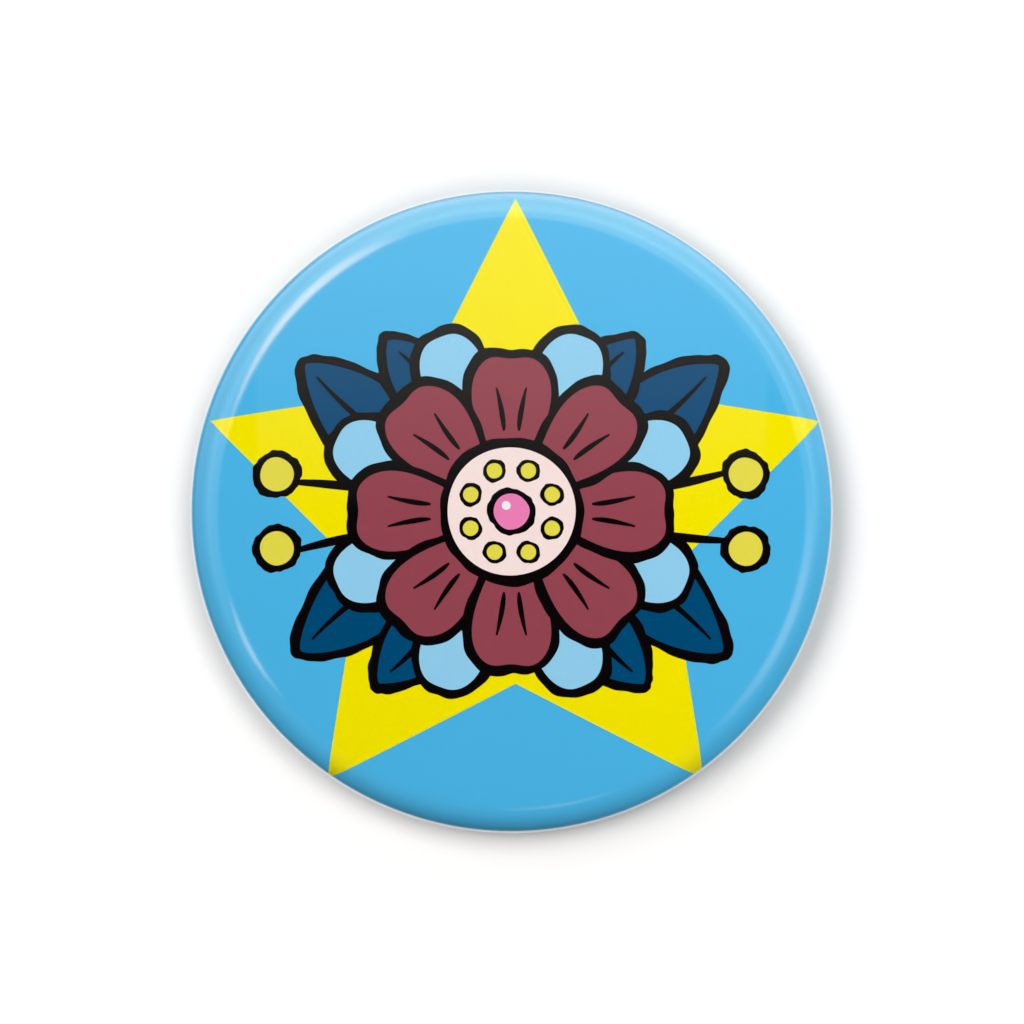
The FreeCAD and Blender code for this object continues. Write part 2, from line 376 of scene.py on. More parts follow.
def tinplate(name, colour, rolled_along):
    """Bright tinplate with faint rolling lines, handling scuffs and a slow cloudiness."""
    material, tree, shader = new_material(name)
    shader.inputs["Metallic"].default_value = 1.0
    stretch = tuple(ROLLED_STRETCH if axis == rolled_along else 1.0 for axis in "XYZ")
    lines = noise(tree, *ROLLED_LINES, stretch)
    cloud = noise(tree, *TIN_CLOUD)
    scuffs = ranged(tree, noise(tree, *SCUFFS), *SCUFF_LEVELS, 0.0, SCUFF_ROUGHNESS)
    base = srgb(*colour)
    dull = tinted(base, TIN_DULL)
    streaked = mixed(tree, ranged(tree, lines, *NOISE_MIDDLE, 0.0, 1.0), base, dull)
    clouded = mixed(tree, ranged(tree, cloud, *CLOUD_DULLS), streaked, dull)
    tree.links.new(clouded, shader.inputs["Base Color"])
    rough = calc(tree, "ADD", ranged(tree, cloud, *NOISE_MIDDLE, *CLOUD_ROUGHNESS), scuffs)
    rough = calc(tree, "ADD", rough, ranged(tree, lines, *NOISE_MIDDLE, 0.0, LINES_ROUGHNESS))
    tree.links.new(rough, shader.inputs["Roughness"])
    tree.links.new(bump(tree, cloud, *CLOUD_BUMP, bump(tree, lines, *LINES_BUMP)), shader.inputs["Normal"])
    return material


DRAW_MARKS = (5200.0, 4.0, (0.06, 1.0, 1.0))
MARKS_ROUGHNESS = 0.12
MARKS_BUMP = (0.1, 0.000008)
NICKEL_CLOUD = (700.0, 3.0)
NICKEL_CLOUD_LEVELS = (0.35, 0.7)
NICKEL_WARM = (0.93, 0.9, 0.84)


def nickel(name, colour, rough):
    """Nickel plate over drawn steel."""
    material, tree, shader = new_material(name)
    shader.inputs["Metallic"].default_value = 1.0
    marks = noise(tree, *DRAW_MARKS)
    cloud = ranged(tree, noise(tree, *NICKEL_CLOUD), *NICKEL_CLOUD_LEVELS, 0.0, 1.0)
    base = srgb(*colour)
    tree.links.new(mixed(tree, cloud, base, tinted(base, *NICKEL_WARM)), shader.inputs["Base Color"])
    marked = ranged(tree, marks, *NOISE_MIDDLE, rough, rough + MARKS_ROUGHNESS)
    tree.links.new(marked, shader.inputs["Roughness"])
    tree.links.new(bump(tree, marks, *MARKS_BUMP), shader.inputs["Normal"])
    return material


# name, colour in display levels, then the axis that tinplate was rolled along, or nickel's roughness
SHELL_TIN = ("shell_tin", (208, 208, 206), "X")
PLATE_TIN = ("plate_tin", (205, 206, 206), "X")
PIN_NICKEL = ("pin_nickel", (214, 212, 206), 0.14)
CLASP_NICKEL = ("clasp_nickel", (206, 205, 201), 0.2)

INKS = {
    "blue": (78, 186, 234), "yellow": (249, 234, 0), "maroon": (152, 72, 84), "navy": (0, 77, 121),
    "pale_blue": (150, 211, 241), "pale_pink": (251, 230, 226), "mustard": (232, 222, 78),
    "black": (11, 7, 8), "white": (243, 243, 244), "pink": (240, 132, 187),
}
ink_names = list(INKS)
ink_materials = [ink("ink_" + name, colour) for name, colour in INKS.items()]


# ---------------------------------------------------------------- print

STAR_CENTRE = (0.28, -0.58)
STAR_R = 21.8
STAR_POINTS = 5
STAR_INNER = 0.504      # the waist of the star as a share of its points' reach

# The drawn lines: how far each reaches past what it outlines, and how unsteady the outline is
OUTLINE, UNSTEADY = 0.62, 0.06
BERRY_LINE = (0.5, 0.04)
DOT_LINE = (0.26, 0.02)
HEART_LINE = (0.4, 0.04)
GLINT_LINE = (0.0, 0.01)
STEM_PEN, VEIN_PEN, CREASE_PEN = 0.6, 0.42, 0.36
UNSTEADY_WAVES = (2, 3, 5)      # round an outline
PRESS_WAVES = ((2, 0.14), (5, 0.09), (11, 0.05), (17, 0.04))   # of the pen's pressure, and their depth
STROKE_POINTS, VEIN_POINTS = 12, 14
STROKE_THIN = 0.35      # of a stroke's width, at its ends
STROKE_BELLY = 0.7      # below 1 it is widest before its middle

# The flower's parts, in millimetres from its middle
PETALS = 8
BACK_PETAL = (3.0, 9.9, 3.0, 0.2)     # start, length, width, dip in the end
FRONT_PETAL = (1.5, 9.3, 3.7, 0.5)
DIP_SPREAD = 0.32                     # radians of the petal's outline
PETAL_TAPER = 1.3                     # the higher, the slimmer towards its root
CREASE = (5.4, 8.3, 0.5)              # start, end, to either side of the petal's middle
CREASE_SPREAD = 1.5                   # above 1 it spreads mostly at its end
MIDDLE_R = 4.3
DOT_R, DOT_REACH, DOT_POINTS = 0.52, 2.95, 24
HEART_R = 1.2
GLINT_R, GLINT_AT, GLINT_POINTS = 0.3, (-0.35, 0.4), 20
LEAF_START = 6.6
LEAVES = ((30, 10.4, 2.7, 1.6), (-28, 10.4, 2.7, -1.6), (-56, 8.0, 2.2, 0.9), (58, 7.6, 2.1, -0.9))
LEAF_BELLY, LEAF_FULLNESS = 0.85, 0.75     # below 1 it is widest before its middle, and fuller
VEIN_START, VEIN_SHORTER = 9.5, 4.0   # its start, and how much shorter than the leaf it is
VEIN_BEND = (0.15, 0.75)              # the root of its share in the leaf's bend: at its start, what it gains
STEM_START, STEM_BEND = 9.0, 0.5
BERRY_ANGLES = (9, -9)
BERRY_R, BERRY_REACH = 1.15, 16.0

# How the print is cut into the paper's mesh
OUTLINE_STEP = 0.35     # between points along a straight edge, so that it follows the dome
PRINT_EDGE_ANGLE = 8.0  # the print is laid out flat up to this far from where the shoulder turns down
RING_START = 0.5        # the first ring's least radius
RING_MARGIN = 0.02      # from the last ring to the print's edge
RING_GAP = 0.03         # the least between rings
RING_STEP = 0.7         # between points along a ring
RING_LEAST = 12         # points
FINE = 1e-5


def star():
    """The plain five-point star, point up."""
    points = []
    for i in range(2 * STAR_POINTS):
        reach = STAR_R * (STAR_INNER if i % 2 else 1.0)
        points.append(on_round(*STAR_CENTRE, reach, 90 + 180 / STAR_POINTS * i))
    return np.array(points)


def turned_shape(points, angle):
    turn = math.radians(angle)
    c, s = math.cos(turn), math.sin(turn)
    return points @ np.array([[c, s], [-s, c]])


def hand_drawn(points, amount):
    """The slight unsteadiness of a line drawn by hand."""
    t = np.linspace(0, 2 * math.pi, len(points), endpoint=False)
    drift = np.zeros((len(points), 2))
    for wave in UNSTEADY_WAVES:
        for axis in (0, 1):
            drift[:, axis] += np.sin(wave * t + rng.uniform(0, 2 * math.pi)) / wave
    return points + amount * drift


def counterclockwise(points):
    following = np.roll(points, -1, axis=0)
    area = (points[:, 0] * following[:, 1] - following[:, 0] * points[:, 1]).sum()
    return points if area > 0 else points[::-1]


def grown(points, width):
    """The shape with its edge moved outwards, by a little more in some places than in others."""
    points = counterclockwise(points)
    along = np.roll(points, -1, axis=0) - np.roll(points, 1, axis=0)
    outward = np.stack([along[:, 1], -along[:, 0]], axis=1)
    outward /= np.linalg.norm(outward, axis=1, keepdims=True)
    t = np.linspace(0, 2 * math.pi, len(points), endpoint=False)
    press = np.ones(len(points))
    for wave, depth in PRESS_WAVES:
        press += depth * np.sin(wave * t + rng.uniform(0, 2 * math.pi))
    return points + outward * (width * press)[:, None]


def with_points_between(points, step):
    """The same outline with no two neighbouring points further apart than the step."""
    filled = []
    for start, end in zip(points, np.roll(points, -1, axis=0)):
        count = max(1, math.ceil(np.linalg.norm(end - start) / step))
        filled += [start + (end - start) * i / count for i in range(count)]
    return np.array(filled)


def petal(start, length, width, dip, count=120):
    """A petal along +X, widest past its middle, with a slight dip in its round end."""
    t = np.linspace(0, 2 * math.pi, count, endpoint=False)
    a = start + length * (1 - np.cos(t)) / 2
    a -= dip * np.exp(-((t - math.pi) / DIP_SPREAD) ** 2)
    b = width * np.sin(t) * np.abs(np.sin(t / 2)) ** PETAL_TAPER
    return np.stack([a, b], axis=1)


def leaf(start, length, width, bend, count=120):
    """A leaf along +X with a blunt point, which bends a little to one side."""
    turn = np.linspace(0, 2 * math.pi, count, endpoint=False)
    t = (1 - np.cos(turn)) / 2
    half = width * np.sin(math.pi * t ** LEAF_BELLY) ** LEAF_FULLNESS
    return np.stack([start + length * t, bend * t ** 2 - half * np.sign(np.sin(turn))], axis=1)


def circle(radius, centre=(0.0, 0.0), count=72):
    t = np.linspace(0, 2 * math.pi, count, endpoint=False)
    return np.stack([radius * np.cos(t), radius * np.sin(t)], axis=1) + np.array(centre)


def stroke(points, width):
    """A pen stroke along a line of points, thin at both ends."""
    points = np.array(points)
    along = np.gradient(points, axis=0)
    side = np.stack([-along[:, 1], along[:, 0]], axis=1)
    side /= np.linalg.norm(side, axis=1, keepdims=True)
    t = np.linspace(0, 1, len(points))
    half = width / 2 * (STROKE_THIN + (1 - STROKE_THIN) * np.sin(math.pi * t ** STROKE_BELLY))
    left, right = points + side * half[:, None], points - side * half[:, None]
    return np.concatenate([right, left[::-1]])


def flower():
    """A drawn flower with leaves and berries, as (ink, outline) from the bottom up."""
    shapes = []

    def add(name, points, line=OUTLINE, unsteady=UNSTEADY):
        points = hand_drawn(points, unsteady)
        shapes.append(("black", grown(points, line)))
        shapes.append((name, points))

    def draw(points, width, angle):
        shapes.append(("black", turned_shape(stroke(points, width), angle)))

    def vein(length, bend):
        t = np.linspace(0, 1, VEIN_POINTS)
        bent, more = VEIN_BEND
        return np.stack([VEIN_START + (length - VEIN_SHORTER) * t, bend * (bent + more * t) ** 2], axis=1)

    t = np.linspace(0, 1, STROKE_POINTS)
    for side in (-1, 1):
        out = 0 if side > 0 else 180
        for angle in BERRY_ANGLES:
            stem = np.stack([np.linspace(STEM_START, BERRY_REACH, STROKE_POINTS), STEM_BEND * t ** 2], axis=1)
            draw(stem, STEM_PEN, out + side * angle)
            add("mustard", circle(BERRY_R, on_round(0, 0, BERRY_REACH, out + side * angle)), *BERRY_LINE)
        for angle, length, width, bend in LEAVES:
            shape = leaf(LEAF_START, length, width, side * bend)
            add("navy", turned_shape(shape, out + side * angle))
            draw(vein(length, side * bend), VEIN_PEN, out + side * angle)
    petal_turn = 360 / PETALS
    for i in range(PETALS):
        add("pale_blue", turned_shape(petal(*BACK_PETAL), petal_turn * (i + 0.5)))
    start, end, beside = CREASE
    for i in range(PETALS):
        angle = 90 + petal_turn * i
        add("maroon", turned_shape(petal(*FRONT_PETAL), angle))
        for side in (-beside, beside):
            spread = side + side * t ** CREASE_SPREAD
            draw(np.stack([np.linspace(start, end, STROKE_POINTS), spread], axis=1), CREASE_PEN, angle)
    add("pale_pink", circle(MIDDLE_R))
    for i in range(PETALS):
        add("mustard", circle(DOT_R, on_round(0, 0, DOT_REACH, petal_turn * (i + 0.5)), DOT_POINTS),
            *DOT_LINE)
    add("pink", circle(HEART_R), *HEART_LINE)
    add("white", circle(GLINT_R, GLINT_AT, GLINT_POINTS), *GLINT_LINE)
    return shapes


def inside(points, outline):
    """Which points lie inside a closed outline."""
    x, y = points[:, 0:1], points[:, 1:2]
    x0, y0 = outline[:, 0][None, :], outline[:, 1][None, :]
    x1, y1 = np.roll(outline[:, 0], -1)[None, :], np.roll(outline[:, 1], -1)[None, :]
    spans = (y0 > y) != (y1 > y)
    with np.errstate(divide="ignore", invalid="ignore"):
        cross = x0 + (y - y0) * (x1 - x0) / (y1 - y0)
    return (np.where(spans & (x < cross), 1, 0).sum(axis=1) % 2) == 1


def printed_paper(outer, edge_a):
    """The paper's face with its print cut into the mesh, so that every ink has its own triangles."""
    dome, shoulder = front_rounds()[:2]
    dome_a, dome_b, dome_r, _, meeting_angle = dome
    shoulder_a, shoulder_b, shoulder_r = shoulder[:3]
    dome_r, shoulder_r = dome_r + PAPER_FACE, shoulder_r + PAPER_FACE
    meeting = on_round(dome_a, dome_b, dome_r, meeting_angle)[0]
    drawn = [("yellow", star())] + flower()

    verts = [on_round(0, 0, edge_a, 360 * i / LATHE_TURNS) for i in range(LATHE_TURNS)]
    edges = [(i, (i + 1) % LATHE_TURNS) for i in range(LATHE_TURNS)]
    ring_radii = [a for a, b in outer if RING_START < a < edge_a - RING_MARGIN]
    ring_radii = [a for i, a in enumerate(ring_radii) if i == 0 or a - ring_radii[i - 1] > RING_GAP]
    for number, radius in enumerate(ring_radii):
        count = max(RING_LEAST, min(LATHE_TURNS, round(2 * math.pi * radius / RING_STEP)))
        if radius > shoulder_a:
            count = LATHE_TURNS // 2
        shift = 0.5 * (number % 2)
        verts += [on_round(0, 0, radius, 360 * (i + shift) / count) for i in range(count)]
    for name, outline in drawn:
        start = len(verts)
        points = [tuple(p) for p in with_points_between(outline, OUTLINE_STEP)]
        verts += points
        edges += [(start + i, start + (i + 1) % len(points)) for i in range(len(points))]
    flat = delaunay_2d_cdt([Vector(v) for v in verts], edges, [], 0, FINE, False)
    plane = np.array([tuple(v) for v in flat[0]])
    triangles = np.array(flat[2])
    centres = plane[triangles].mean(axis=1)
    kept = np.hypot(centres[:, 0], centres[:, 1]) < edge_a
    triangles, centres = triangles[kept], centres[kept]
    colours = np.zeros(len(triangles), int)
    for name, outline in drawn:
        colours[inside(centres, outline)] = ink_names.index(name)
    reach = np.hypot(plane[:, 0], plane[:, 1])
    height = np.where(
        reach < meeting,
        dome_b + np.sqrt(np.maximum(dome_r ** 2 - reach ** 2, 0)),
        shoulder_b + np.sqrt(np.maximum(shoulder_r ** 2 - (reach - shoulder_a) ** 2, 0)),
    )
    return [(x, -h, z) for (x, z), h in zip(plane, height)], triangles, colours


WELD = 1e-7
SHARP_ANGLE = 40.0


def smooth_join(obj, angle=SHARP_ANGLE):
    """Weld what meets, face everything outwards, and keep the sheet's cut edges sharp."""
    work = bmesh.new()
    work.from_mesh(obj.data)
    bmesh.ops.remove_doubles(work, verts=work.verts, dist=WELD)
    bmesh.ops.recalc_face_normals(work, faces=work.faces)
    work.to_mesh(obj.data)
    work.free()
    obj.data.set_sharp_from_angle(angle=math.radians(angle))


def paper_piece():
    """The printed face, then a lathe of the rest: plain blue round the rim, white inside."""
    outer = section(PAPER_FACE, front_rounds())
    a, b, radius = front_rounds()[1][:3]
    edge = on_round(a, b, radius + PAPER_FACE, PRINT_EDGE_ANGLE)
    points, triangles, colours = printed_paper(outer, edge[0])
    first = next(i for i, p in enumerate(outer) if i and p[0] >= edge[0])
    wrap = [edge] + outer[first:]
    verts, wrap_faces = lathe(wrap + section(LAYER_GAP, front_rounds())[::-1], len(points))
    blue, white = ink_names.index("blue"), ink_names.index("white")
    printed = (len(wrap) - 1) * LATHE_TURNS
    inks = colours.tolist() + [blue if i < printed else white for i in range(len(wrap_faces))]
    obj = mesh_object("paper_print", points + verts, triangles.tolist() + wrap_faces, ink_materials,
                      face_materials=inks)
    smooth_join(obj)
    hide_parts("printed_paper")
    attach(obj, "badge")


def film_piece():
    outer = section(COVER_T, front_rounds())
    inner = section(COVER_T - FILM_T, front_rounds())[::-1]
    obj = mesh_object("film_cover", *lathe(outer + inner), [film_material()])
    smooth_join(obj)
    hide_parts("clear_film")
    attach(obj, "badge")


# ---------------------------------------------------------------- pin

WIRE_SIDES = 24
WIRE_CUT = 0.07       # the cut end's broken edge
HINGE_STEP = 0.08     # between the rings where the arm bends
HINGE_REACH = 1.3     # how far past its root the arm takes part in the bend
HINGE_RINGS_BEYOND = 4
RUN_STEP = 1.5        # between rings on a straight run
LEG_STEP = 3.0
SET_OUT_STEP = 0.4
TAPER_PLACES = (0.04, 0.2, 0.4, 0.6, 0.8, 0.95)
TIP_RINGS = 5
TIP_CLOSE = 4.2       # of the tip's rings to its very end, so that the last one isn't a point
PIN_SHARP_ANGLE = 35.0
COIL_ANGLE = 180.0 * COIL_HALF_TURNS - SET_OUT_ANGLE   # from which setting out brings the arm level
X_AXIS, Y_AXIS, Z_AXIS = Vector((1, 0, 0)), Vector((0, 1, 0)), Vector((0, 0, 1))


class WireLine:
    """Points and headings along the wire, each stretch leaving along the heading the last one ended with."""

    def __init__(self, point, heading):
        self.points, self.headings = [Vector(point)], [Vector(heading)]

    def add(self, point, heading):
        self.points.append(point)
        self.headings.append(heading)

    def run(self, length, step=RUN_STEP):
        start, heading = self.points[-1], self.headings[-1]
        count = math.ceil(length / step)
        for i in range(1, count + 1):
            self.add(start + heading * (length * i / count), heading)

    def bend(self, radius, angle, axis):
        start, heading = self.points[-1], self.headings[-1]
        centre = start + axis.cross(heading) * math.copysign(radius, angle)
        count = math.ceil(abs(angle) / BEND_STEP)
        for i in range(1, count + 1):
            turn = Matrix.Rotation(math.radians(angle * i / count), 3, axis)
            self.add(centre + turn @ (start - centre), turn @ heading)

    def coil(self, radius, pitch, angle):
        top = self.points[-1]
        climb = math.atan2(pitch, 2 * math.pi * radius)
        count = math.ceil(angle / BEND_STEP)
        for i in range(1, count + 1):
            turn = Matrix.Rotation(-math.radians(angle * i / count), 3, Y_AXIS)
            spoke = turn @ Z_AXIS * radius
            self.add(top + Y_AXIS * (pitch * angle / 360 * i / count) + spoke - Z_AXIS * radius,
                     turn @ -X_AXIS * math.cos(climb) + Y_AXIS * math.sin(climb))


def wire_line():
    """The wire's middle, from its end in the clasp to where the arm sets out."""
    wire_low, wire_high = [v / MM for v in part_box("pin_wire")]
    clasp_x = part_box("pin_clasp")[0].x / MM
    coil_x = wire_low.x + COIL_R + WIRE_R
    leg_y = wire_low.y + WIRE_R
    climb = math.degrees(math.atan2(COIL_PITCH, 2 * math.pi * COIL_R))
    lead = COIL_LEAD_R * math.sin(math.radians(climb))
    step_r = LEG_RISE / (2 * (1 - math.cos(math.radians(LEG_STEP_ANGLE))))
    step_x = clasp_x - LEG_STEP_GAP - 2 * step_r * math.sin(math.radians(LEG_STEP_ANGLE))
    line = WireLine((wire_high.x, leg_y + LEG_RISE, COIL_R), -X_AXIS)
    line.run(wire_high.x - clasp_x + LEG_STEP_GAP)
    line.bend(step_r, LEG_STEP_ANGLE, Z_AXIS)
    line.bend(step_r, -LEG_STEP_ANGLE, Z_AXIS)
    line.run(step_x - coil_x - lead, LEG_STEP)
    line.bend(COIL_LEAD_R, -climb, Z_AXIS)
    line.coil(COIL_R, COIL_PITCH, COIL_ANGLE)
    level = line.headings[-1].cross(Y_AXIS).normalized()
    line.bend(COIL_LEAD_R, -climb, level)
    line.run(SET_OUT_RUN, SET_OUT_STEP)
    line.bend(SET_OUT_R, -SET_OUT_ANGLE, Y_AXIS)
    return line


def tube_rings(line, radii):
    """The points of a round tube's rings along the line, carried on without twist."""
    across = line.headings[0].orthogonal().normalized()
    rings, before = [], line.headings[0]
    for point, heading, radius in zip(line.points, line.headings, radii):
        across = before.rotation_difference(heading) @ across
        across = (across - heading * across.dot(heading)).normalized()
        beside, before = heading.cross(across), heading
        rings.append([point + (across * math.cos(turn) + beside * math.sin(turn)) * radius
                      for turn in (2 * math.pi * i / WIRE_SIDES for i in range(WIRE_SIDES))])
    return rings


def closed_tube(name, rings, material):
    """A solid round wire through the rings, with flat ends."""
    faces = []
    for ring in range(len(rings) - 1):
        for i in range(WIRE_SIDES):
            j = (i + 1) % WIRE_SIDES
            here, there = ring * WIRE_SIDES, (ring + 1) * WIRE_SIDES
            faces.append((here + i, here + j, there + j, there + i))
    faces.append(tuple(range(WIRE_SIDES))[::-1])
    faces.append(tuple((len(rings) - 1) * WIRE_SIDES + i for i in range(WIRE_SIDES)))
    obj = mesh_object(name, [tuple(p) for ring in rings for p in ring], faces, [material])
    smooth_join(obj, PIN_SHARP_ANGLE)
    return obj


def pin_pieces():
    """The pin is one wire; it is cut where the arm starts to bend away, ring against ring."""
    line = wire_line()
    arm_low, arm_high = [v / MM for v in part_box("pin_arm")]
    root = arm_low + Vector((WIRE_R, WIRE_R, WIRE_R))
    stub_x, tip_x = line.points[-1].x, arm_high.x
    line.points.insert(1, line.points[0] - X_AXIS * WIRE_CUT)
    line.headings.insert(1, -X_AXIS)
    split = len(line.points)
    line.run(root.x + HINGE_REACH + HINGE_RINGS_BEYOND * HINGE_STEP - stub_x, HINGE_STEP)
    line.run(tip_x - TAPER_LENGTH - line.points[-1].x)
    radii = [WIRE_R - WIRE_CUT] + [WIRE_R] * (len(line.points) - 1)
    taper = math.atan2(WIRE_R - TIP_R, TAPER_LENGTH - TIP_R)
    start = line.points[-1].copy()
    for share in TAPER_PLACES:
        line.add(start + X_AXIS * (share * (TAPER_LENGTH - TIP_R)), X_AXIS)
        radii.append(WIRE_R - (WIRE_R - TIP_R) * share)
    for i in range(TIP_RINGS):
        angle = (math.pi / 2 - taper) * (1 - i / TIP_CLOSE)
        line.add(Vector((tip_x - TIP_R + TIP_R * math.cos(angle), root.y, root.z)), X_AXIS)
        radii.append(TIP_R * math.sin(angle))
    rings = tube_rings(line, radii)
    material = nickel(*PIN_NICKEL)
    coil = closed_tube("pin_leg_and_coil", rings[:split], material)
    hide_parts("pin_wire")
    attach(coil, "badge")
    arm = closed_tube("pin_arm_and_point", rings[split - 1:], material)
    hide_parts("pin_arm")
    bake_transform(arm)


# ---------------------------------------------------------------- stage, light and camera

WALL_GAP = 0.05        # between the bead's flat and the backdrop
FLOOR_Z = -46.0
STAGE_REACH = 1500.0
SQUARE = [(a * STAGE_REACH, b * STAGE_REACH) for a, b in ((-1, -1), (1, -1), (1, 1), (-1, 1))]

# A glow keeps the stage white. Near the badge the stage carries a painted contact shadow: its colour darkens
# where a surface is close, with painted shades of their own at the right and over the badge, where the lamps
# would bleach the shadow, and the glow is warm there, a painted tint, since the badge throws its blue on its
# own shadow. Each pair of turns is in metres from the badge's middle.
WALL_GLOW = 0.11
FLOOR_GLOW = 0.3
WHITE = (1.0, 1.0, 1.0, 1.0)
GLOW_WHITE = (1.7, 1.7, 1.75, 1.0)
GLOW_SHADOW_WARMTH = (1.15, 0.86, 0.62, 1.0)
GLOW_TURNS_WHITE = (0.0235, 0.031)
CONTACT_REACH = 2.0    # how close a surface has to be, for the painted contact shadow to darken the stage
CONTACT_SAMPLES = 4
CONTACT_SHADE = (0.76, 0.7, 0.64, 1.0)
# the share of the glow that is left in the painted contact shadow
CONTACT_GLOW = 0.7
CONTACT_SHADE_RIGHT = (0.84, 0.68, 0.5, 1.0)
CONTACT_TURNS_RIGHT = (0.006, 0.02)
CONTACT_SHADE_OVER = (0.33, 0.33, 0.33, 1.0)
CONTACT_TURNS_OVER = (0.015, 0.0225)


def white_stage(name, points, glow_level):
    """A square that shows from its front only, so that the badge's back can be seen, and isn't mirrored."""
    material, tree, shader = new_material(name)
    # Painted contact shadow: where the badge is close the colour darkens and the glow dims, with painted
    # shades of their own at the right and over the badge; within the first turns the glow is a warm painted
    # tint.
    closeness = tree.nodes.new("ShaderNodeAmbientOcclusion")
    closeness.samples = CONTACT_SAMPLES
    closeness.inputs["Distance"].default_value = CONTACT_REACH * MM
    openness = closeness.outputs["AO"]
    place = tree.nodes.new("ShaderNodeTexCoord").outputs["Object"]
    x, _, z = separated(tree, place)
    shade = mixed(tree, ranged(tree, x, *CONTACT_TURNS_RIGHT, 0.0, 1.0), CONTACT_SHADE, CONTACT_SHADE_RIGHT)
    shade = mixed(tree, ranged(tree, z, *CONTACT_TURNS_OVER, 0.0, 1.0), shade, CONTACT_SHADE_OVER)
    tree.links.new(mixed(tree, openness, shade, WHITE), shader.inputs["Base Color"])
    shader.inputs["Roughness"].default_value = 1.0
    shader.inputs["Specular IOR Level"].default_value = 0.0
    far = ranged(tree, vector_calc(tree, "LENGTH", place), *GLOW_TURNS_WHITE, 0.0, 1.0)
    tree.links.new(mixed(tree, far, GLOW_SHADOW_WARMTH, GLOW_WHITE), shader.inputs["Emission Color"])
    tree.links.new(ranged(tree, openness, 0.0, 1.0, CONTACT_GLOW * glow_level, glow_level),
                   shader.inputs["Emission Strength"])
    geometry = tree.nodes.new("ShaderNodeNewGeometry")
    two_sided(tree, geometry.outputs["Backfacing"], shader, tree.nodes.new("ShaderNodeBsdfTransparent"))
    obj = mesh_object(name, points, [(0, 1, 2, 3)], [material], smooth=False)
    obj.visible_diffuse = obj.visible_glossy = obj.visible_transmission = obj.visible_shadow = False
    return obj


backdrop = white_stage("backdrop", [(x, WALL_GAP, z) for x, z in SQUARE], WALL_GLOW)
white_stage("floor", [(x, y, FLOOR_Z) for x, y in SQUARE], FLOOR_GLOW)

LAMP_DISTANCE = 2.0    # metres
LAMP_ANGLE = 26.0      # degrees that a lamp spans, seen from the badge
# name, degrees off the front axis, degrees round it, share of the light on the badge's face, behind or not
LAMPS = (
    ("left", 38, 172, 0.28),
    ("upper_left", 43, 135, 0.2),
    ("upper_right", 30, 50, 0.23),
    ("right", 38, 8, 0.06),
    ("behind_left", 45, 150, 0.3, True),
    ("behind_right", 45, 30, 0.3, True),
)
# Low ones round the rim off; the backdrop is spared their long shadows.
FILLS = (("fill_right", 80, 0, 0.085), ("fill_below", 80, -90, 0.018), ("fill_above", 80, 90, 0.012))


def from_axis(off, around):
    """A direction so far off the front axis, at an angle counted from +X towards +Z."""
    off, around = math.radians(off), math.radians(around)
    return Vector((math.sin(off) * math.cos(around), -math.cos(off), math.sin(off) * math.sin(around)))


def softbox(name, off, around, share, back=False):
    """A square lamp turned to the badge, unseen by the camera and by gloss."""
    towards = from_axis(off, around)
    if back:
        towards.y = -towards.y
    data = bpy.data.lights.new(name, "AREA")
    data.size = 2 * LAMP_DISTANCE * math.tan(math.radians(LAMP_ANGLE / 2))
    data.energy = share * (math.pi * LAMP_DISTANCE) ** 2 / math.cos(math.radians(off))
    lamp = bpy.data.objects.new(name, data)
    facing = towards.to_track_quat("Z", "Y").to_matrix().to_4x4()
    lamp.matrix_world = Matrix.Translation(towards * LAMP_DISTANCE) @ facing
    lamp.visible_camera = lamp.visible_glossy = False
    bpy.context.scene.collection.objects.link(lamp)
    return lamp


for lamp in LAMPS:
    softbox(*lamp)
all_but_backdrop = bpy.data.collections.new("all_but_backdrop")
all_but_backdrop.objects.link(backdrop)
all_but_backdrop.collection_objects[0].light_linking.link_state = "EXCLUDE"
for fill in FILLS:
    softbox(*fill).light_linking.receiver_collection = all_but_backdrop

# The room that gloss and metal mirror. A direction is given by the x, y and z of a unit vector; up and right
# are its z and x with y left out, and depth is 0 straight ahead of the badge and 1 straight behind it. What
# goes by depth has (depth, level) stops, and each other pair is where a change starts and ends.
AMBIENT = 0.175            # the even light on everything that isn't gloss
GATE = (28.46, 28.82)      # degrees off the front axis between which the dark ahead gives way to the room
CEILING_LEVEL, FLOOR_LEVEL = 4.8, 0.1
CEILING_FALL = (1.5, 3.0)  # how fast the ceiling fades downwards, ahead and behind
FALL_TURNS = (-0.6, -0.1)  # by y
CEILING_BY_DEPTH = (
    (0.0, 0.0), (0.05, 0.5), (0.07, 0.62), (0.095, 0.74), (0.15, 0.83), (0.187, 1.05), (0.225, 1.16),
    (0.314, 1.03), (0.418, 0.92), (0.5, 0.94), (0.607, 0.95), (0.69, 0.86), (0.761, 0.6), (0.861, 0.0),
)
CEILING_TINT = (1.0, 1.0, 0.67, 1.0)
CEILING_TINT_BEHIND = (1.0, 1.04, 0.93, 1.0)
TINT_TURNS = (-0.05, 0.15)     # by y
